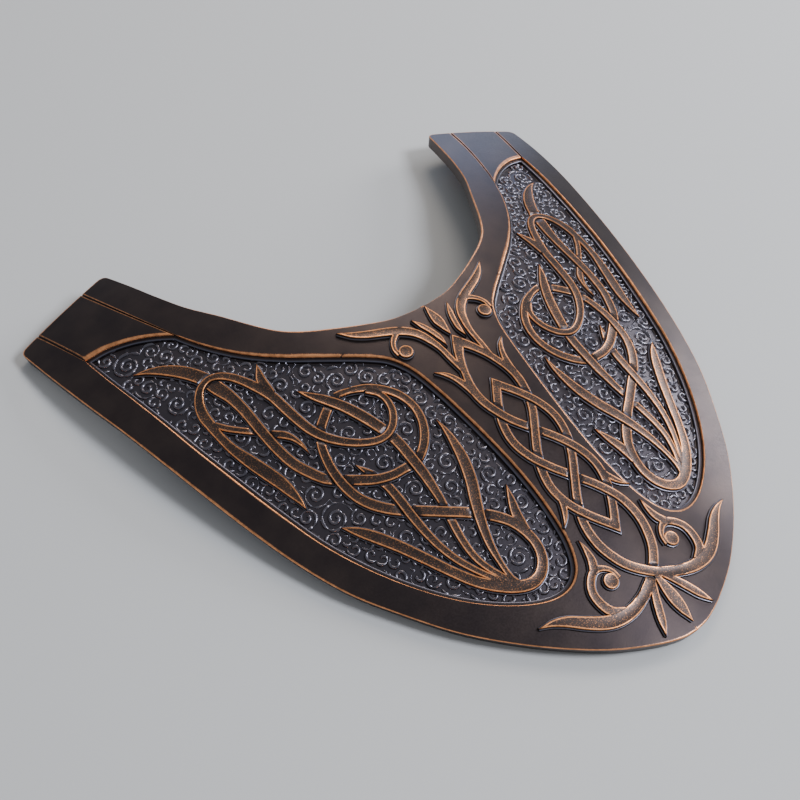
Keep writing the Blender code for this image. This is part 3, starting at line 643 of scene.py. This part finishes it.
BRAID_CROSSINGS = [
    ("inner_minus", "outer_minus", -7.2, -53.5), ("outer_plus", "inner_plus", 7.2, -53.5),
    ("inner_plus", "inner_minus", 0, -64.3), ("outer_minus", "inner_plus", -7.2, -75.1),
    ("inner_minus", "outer_plus", 7.2, -75.1), ("outer_plus", "outer_minus", 0, -85.9),
    ("inner_plus", "outer_plus", -7.2, -96.7), ("outer_minus", "inner_minus", 7.2, -96.7),
    ("outer_plus", "outer_minus", 0, -126.7),
]
BAND_STRAPS = {
    "top_leaf": [(6.6, -32, 0.55), (7, -26, 0.6), (7.3, -19.7, 0.62), (8.4, -14.7, 0.78),
                 (10.2, -10.2, 0.92), (12.9, -6.9, 1), (16.7, -4.2, 1), (20.7, -2.1, 0.95),
                 (25.7, 0.4, 0.88), (30.2, 3.4, 0.62), (34.4, 7.4, 0)],
    "top_side_leaf": [(8.5, -3.7, 0), (6.8, -7.7, 0.5), (5.4, -11.7, 0.56), (4.5, -15.7, 0.5),
                      (4.5, -20, 0)],
    "top_spur": [(16, -27, 0), (13.2, -29.7, 0.4), (11.3, -33, 0.55), (10, -37, 0.72),
                 (9.2, -41.5, 0.8)],
    "low_spur": [(9.8, -89.5, 0.6), (11, -92.5, 0.62), (13, -95.7, 0.45), (15.7, -98.5, 0)],
    "long_leaf": [(3, -128.6, 0.9), (8.7, -131.4, 1), (14.7, -132.9, 1.15), (20.7, -132.6, 1.25),
                  (25.7, -130.7, 1.25), (30.7, -127.2, 1.15), (35.2, -123.5, 0.95),
                  (39.7, -120.9, 0.55), (44.5, -119.4, 0)],
    "scroll_leaf": [(14.7, -104.7, 0), (14.8, -108.7, 0.5), (15.6, -112.7, 0.82),
                    (17.5, -115.8, 0.8)],
    "low_leaf": [(11.3, -145.6, 0), (9.2, -141.5, 0.68), (7, -137, 0.8), (4.8, -133, 0.72),
                 (2.6, -129.5, 0.6)],
    "top_curl": [(14.6, -4.6, 0.75), (17.6, -5.9, 0.6), (20.3, -8.2, 0.5), (21.7, -11, 0.45),
                 (21.6, -13.6, 0.5)],
    "low_curl": [(17.5, -132, 0.9), (21.2, -129.2, 0.9), (22.7, -125, 0.86), (22.4, -120.6, 0.8),
                 (20, -117.2, 0.78), (16.9, -115.6, 0.72), (13.9, -116.7, 0.55),
                 (12, -119.2, 0.45), (11.7, -122, 0.5)],
}
AXIS_LEAVES = {
    "top_middle_leaf": [(0, -1, 0), (0, -6, 0.85), (0, -9.5, 1.08), (0, -13, 0.65), (0, -16.6, 0)],
    "low_middle_leaf": [(0, -128.5, 0.5), (0, -134, 1.05), (0, -138, 1.25), (0, -142, 0.95),
                        (0, -147, 0)],
}
band = {"inner_plus": INNER_STRAND, "inner_minus": [(-x, y, w) for x, y, w in INNER_STRAND],
        "outer_plus": OUTER_STRAND, "outer_minus": [(-x, y, w) for x, y, w in OUTER_STRAND]}
band.update(AXIS_LEAVES)
for name, rows in BAND_STRAPS.items():
    band[name + "_right"] = rows
    band[name + "_left"] = [(-x, y, w) for x, y, w in rows]
piece("middle_braid", *woven(band, BRAID_CROSSINGS, BRAID_FOOT, BRAID_RISE, BRAID_STEP), rubbed,
      mirror=False)

# Scroll eyes: small round bosses at the hearts of the four scrolls of the braid's leaves, cut
# with the same stepped foot and rubbed edge.
EYES = [(18.8, -13.9, 2.6), (14.6, -121.4, 2.6)]
EYE_SIDES = 40
EYE_CROWN = 0.12
eye_points, eye_faces, eye_tone = [], [], []
for x, y, radius in EYES:
    angle = np.arange(EYE_SIDES) / EYE_SIDES * math.tau
    spoke = np.stack([np.cos(angle), np.sin(angle)], axis=1)
    rows = np.vstack([STRAP_SECTION[:1], STRAP_SECTION])
    far = np.maximum(radius + rows[:, 0], 0)
    far[[0, -1]] = 0.0
    flat = np.array([x, y]) + far[:, None, None] * spoke[None]
    lift = BRAID_FOOT + (BRAID_RISE - BRAID_FOOT) * rows[:, 1][:, None] * np.ones(EYE_SIDES)
    lift[-1] += EYE_CROWN
    eye_faces.append(quads(*flat.shape[:2], sum(len(p) for p in eye_points), wrap=True))
    eye_points.append(on_plate(flat, lift).reshape(-1, 3))
    eye_tone.append(np.repeat(rows[:, 2], EYE_SIDES))
piece("scroll_eyes", np.vstack(eye_points), np.vstack(eye_faces), np.concatenate(eye_tone), rubbed)

# Panel ground scrolls: fine raised curls that cover the sunk ground between the straps, like vine tendrils,
# polished, and made brighter than the ground they stand on partly by a painted sheen. The larger ones stand
# where the photograph has them, and smaller ones fill the room between.
CURL_HALF_WIDTH, CURL_HEIGHT = 0.74, 0.80
CURL_STATIONS = 72
CURL_TURNS = 2.5
CURL_MARGIN, FILLER_MARGIN = 1.2, 2.4
FILLER_ROW, FILLER_COLUMN = 4.0, 4.6
FILLER_ROOM = 1.9
LEAF_LENGTH = 5.2
# Middle x and y, radius, first direction, way of turning.
MAIN_CURLS = np.array([
    (99, 50, 4.6, 0.5, 1), (79, 33, 2.6, 2.0, -1), (98.5, 36, 3.4, 1.0, 1), (94, 22.5, 4.0, 3.0, -1),
    (72, 22, 2.6, 0.0, 1), (45, -7, 4.1, 4.0, -1), (60, -9.5, 3.6, 1.5, 1), (35.5, -12.5, 2.5, 5.0, 1),
    (31, -17.5, 2.1, 0.4, 1), (54, -27, 3.8, 2.5, -1), (51, -43.5, 3.4, 0.7, 1), (37, -38, 2.9, 3.3, -1),
    (75.5, -49, 4.4, 1.2, 1), (76, -38, 2.9, 4.1, -1), (33, -56, 3.3, 0.3, 1), (23, -68, 3.0, 2.2, -1),
    (34, -97, 4.2, 5.2, 1), (84, -4, 2.8, 1.9, 1), (62, 4, 3.2, 3.4, -1), (51.5, 3, 2.7, 0.9, 1),
    (22.5, -44, 2.5, 2.8, 1), (25.5, -31, 3.0, 4.4, -1), (62, -33, 2.4, 0.1, -1), (69, -54, 2.6, 5.5, 1),
    (48, -57.5, 3.0, 3.9, -1), (61, -69, 3.0, 2.3, 1), (21, -54, 2.4, 1.3, -1), (37.5, -64, 2.6, 3.0, 1),
    (50, -75, 2.4, 0.6, -1), (86.5, 43.5, 3.2, 2.6, 1), (95, 3, 2.6, 4.9, -1), (71.5, -3, 2.4, 1.1, 1),
    (103, 26, 2.2, 3.7, 1), (86, 10, 2.6, 0.8, -1), (70, -78, 2.8, 4.0, 1), (20.5, -82, 2.4, 3.6, 1),
    (91, -20, 2.4, 2.0, 1), (42, -20, 2.4, 1.0, 1), (57, -90, 2.4, 5.0, -1), (30, -111, 2.2, 2.0, 1),
])


# Depth of a ridge's foot under the ground.
ROOT = 0.1


def ridges(path, swell, half_width, height):
    """A rounded ridge on each of many paths (path, station, xy): five points across, half the
    width to each side. The swell (path, station) shares out width and height, and where it
    is nought the ridge closes to a point under the ground."""
    way = np.gradient(path, axis=1)
    way /= np.linalg.norm(way, axis=2, keepdims=True)
    right = np.stack([way[..., 1], -way[..., 0]], axis=-1)
    across = np.array([-1.0, -0.6, 0.0, 0.6, 1.0])
    rise = np.array([0.0, 0.8, 1.0, 0.8, 0.0])
    flat = path[:, :, None] + right[:, :, None] * (half_width * swell)[..., None, None] * across[:, None]
    lift = -GROUND_DEPTH - ROOT + (height + ROOT) * swell[..., None] * rise
    count, stations, points = lift.shape
    one = quads(stations, points, wrap=True)
    faces = one[None] + (np.arange(count) * stations * points)[:, None, None]
    thick = np.maximum(swell[:, :-1], swell[:, 1:]) > 0
    faces = faces.reshape(count, stations - 1, points, 4)[thick].reshape(-1, 4)
    used = np.unique(faces)
    # Crests lighter and feet steel blue: partly rubbed crests, partly a painted highlight on the crests and
    # a painted bluish sheen at the feet.
    tone = np.broadcast_to(rise * 0.45 - 0.25, lift.shape)
    return on_plate(flat, lift).reshape(-1, 3)[used], np.searchsorted(used, faces), tone.reshape(-1)[used]


def in_panel(points, loop):
    """True for points inside a closed loop: the angles to its corners add to a full turn."""
    arm = loop[None] - points[:, None]
    angle = np.arctan2(arm[..., 1], arm[..., 0])
    turn = (np.diff(angle, axis=1) + math.pi) % math.tau - math.pi
    return abs(turn.sum(axis=1)) > math.pi


# Fillers stand on a staggered lattice, each moved a little, where they clear the larger
# curls: radius, first direction and way of turning are drawn for each.
dice = np.random.default_rng(7)
lattice = np.stack(np.meshgrid(np.arange(16, 110, FILLER_COLUMN), np.arange(-114, 62, FILLER_ROW)),
                   axis=-1)
lattice[::2, :, 0] += FILLER_COLUMN / 2
spots = lattice.reshape(-1, 2) + dice.uniform(-0.8, 0.8, (lattice.size // 2, 2))
clear = np.hypot(spots[:, 0, None] - MAIN_CURLS[:, 0], spots[:, 1, None] - MAIN_CURLS[:, 1])
clear = np.all(clear > MAIN_CURLS[:, 2] + FILLER_ROOM, axis=1)
spots = spots[clear & in_panel(spots, panel_loop(FILLER_MARGIN)[::4])]
chance = np.column_stack([dice.uniform(1.6, 2.6, len(spots)), dice.uniform(0, math.tau, len(spots)),
                          dice.choice([-1.0, 1.0], len(spots))])
curls = np.vstack([MAIN_CURLS, np.hstack([spots, chance])])

# Each curl is a spiral: its radius grows with the angle swept and a little with its square.
sweep = np.linspace(0, 1, CURL_STATIONS) ** 0.6 * CURL_TURNS * math.tau
radius = 0.50 + 0.20 * sweep + 0.012 * sweep ** 2
turning = curls[:, 3, None] + curls[:, 4, None] * sweep
strokes = curls[:, None, :2] + np.stack([radius * np.cos(turning), radius * np.sin(turning)], axis=-1)

# A stroke thins out halfway to the next curl, swells and wanes like a row of leaves beyond
# its first turn, and closes at both ends and at the panel's edge.
beyond = np.linalg.norm(strokes[:, :, None] - curls[:, :2], axis=-1) - curls[:, 2]
count = np.arange(len(curls))
own = beyond[count, :, count]
beyond[count, :, count] = np.inf
room = (beyond.min(axis=2) - own) / 2
run = np.concatenate([[0], np.cumsum(np.hypot(np.diff(radius), np.diff(sweep) * radius[1:]))])
leaf = np.clip(2.2 * abs(np.sin(run * math.pi / LEAF_LENGTH + curls[:, 3, None])), 0.25, 1)
leaf = np.where(sweep < 1.1 * math.tau, 1.0, leaf)
station = np.arange(CURL_STATIONS)
ends = np.clip(np.minimum(station, station[::-1]) / 2, 0, 1)
swell = np.clip(room / 0.8, 0, 1) ** 0.5 * leaf * ends ** 0.5
swell *= in_panel(strokes.reshape(-1, 2), panel_loop(CURL_MARGIN)[::4]).reshape(swell.shape)
# Brighter base colours and a pale silver in place of copper: the ridges' polish with a painted sheen and
# highlight on top.
polished_and_sheen = blackened_copper("polished_ground", (0.125, 0.114, 0.130), (0.17, 0.152, 0.165),
                            (0.50, 0.44, 0.44), 0.25, 0.5)
piece("ground_scrolls", *ridges(strokes, swell, CURL_HALF_WIDTH, CURL_HEIGHT), polished_and_sheen, sharp=80.0)

# Strap studs: two turned posts with flat heads at the back of the arms, riveted through the
# plate from behind, for the leather neck strap.
STUD_AT = (88.0, 78.0)
STUD_SIDES = 36
# Radius, depth below the front.
STUD_ROWS = np.array([(0.0, -4.6), (2.5, -4.6), (2.5, -8.0), (4.1, -8.0), (4.5, -8.3), (4.5, -9.2),
                      (4.2, -9.5), (0.0, -9.5)])
foot_point = on_plate(np.array(STUD_AT), -THICKNESS)
axis = Vector(foot_point - on_plate(np.array(STUD_AT), 0.0)).normalized()
turned = np.array(axis.to_track_quat("Z", "Y").to_matrix())
angle = np.arange(STUD_SIDES) / STUD_SIDES * math.tau
ring = np.stack([np.cos(angle), np.sin(angle), np.zeros(STUD_SIDES)], axis=1) @ turned.T
stud_points = (STUD_ROWS[:, 0, None, None] * ring
               - (STUD_ROWS[:, 1, None, None] + THICKNESS) * np.array(axis)) * 0.001 + foot_point
stud_faces = quads(len(STUD_ROWS), STUD_SIDES, wrap=True)
stud_tone = np.repeat([0, 0, 0, 0.4, 0.9, 0.8, 0.9, 0.2], STUD_SIDES)
piece("strap_studs", stud_points.reshape(-1, 3), stud_faces, stud_tone, blackened)

# Studio: a pale floor, a small cool window light from above on the right, a low one from the
# right, a blue sky light behind the far arm, a weak warm one over it, and the camera at the
# photograph's angle.
FLOOR_REACH = 3.0
floor_mesh = bpy.data.meshes.new("floor")
floor_mesh.from_pydata([(-FLOOR_REACH, -FLOOR_REACH, 0), (FLOOR_REACH, -FLOOR_REACH, 0),
                        (FLOOR_REACH, FLOOR_REACH, 0), (-FLOOR_REACH, FLOOR_REACH, 0)],
                       [], [(0, 1, 2, 3)])
floor_thing = bpy.data.objects.new("floor", floor_mesh)
bpy.context.scene.collection.objects.link(floor_thing)
paper = bpy.data.materials.new("pale_paper")
paper.use_nodes = True
paper.node_tree.nodes["Principled BSDF"].inputs["Base Color"].default_value = (0.56, 0.54, 0.51, 1.0)
paper.node_tree.nodes["Principled BSDF"].inputs["Roughness"].default_value = 0.9
floor_mesh.materials.append(paper)


def soft_light(name, place, aim, size, power, colour):
    """Square area light at a place, turned towards an aim point."""
    lamp = bpy.data.lights.new(name, "AREA")
    lamp.shape = "SQUARE"
    lamp.size = size
    lamp.energy = power
    lamp.color = colour
    thing = bpy.data.objects.new(name, lamp)
    thing.location = place
    thing.rotation_euler = (Vector(aim) - Vector(place)).to_track_quat("-Z", "Y").to_euler()
    bpy.context.scene.collection.objects.link(thing)


soft_light("window", (0.55, -0.62, 1.00), (0, 0, 0), 0.36, 17.0, (0.80, 0.87, 1.0))
soft_light("low_window", (1.25, -0.10, 0.44), (0, 0, 0), 0.50, 12.0, (0.86, 0.91, 1.0))
soft_light("sky", (1.25, 1.52, 0.24), (0, 0, 0), 1.0, 9.0, (0.50, 0.64, 1.0))
soft_light("warm", (0.75, 0.85, 1.1), (0, 0, 0), 0.6, 8.0, (1.0, 0.93, 0.85))
world = bpy.data.worlds.new("studio")
world.use_nodes = True
world.node_tree.nodes["Background"].inputs["Color"].default_value = (0.80, 0.86, 0.95, 1.0)
world.node_tree.nodes["Background"].inputs["Strength"].default_value = 0.45
bpy.context.scene.world = world

# Camera as fitted to the outline: its place, the point it looks at and its roll.
eye_place = Vector((-0.2195, -0.2028, 0.3501))
look_at = Vector((-0.02618, 0.00526, 0.0150))
roll = math.radians(6.37)
forward = (look_at - eye_place).normalized()
flat_right = forward.cross(Vector((0, 0, 1))).normalized()
flat_up = flat_right.cross(forward)
right = math.cos(roll) * flat_right + math.sin(roll) * flat_up
up = math.cos(roll) * flat_up - math.sin(roll) * flat_right
lens = bpy.data.cameras.new("camera")
lens.lens = 53.98
lens.sensor_width = 36.0
lens.clip_start = 0.01
camera = bpy.data.objects.new("camera", lens)
camera.matrix_world = Matrix((
    (right.x, up.x, -forward.x, eye_place.x), (right.y, up.y, -forward.y, eye_place.y),
    (right.z, up.z, -forward.z, eye_place.z), (0, 0, 0, 1)))
bpy.context.scene.collection.objects.link(camera)
bpy.context.scene.camera = camera
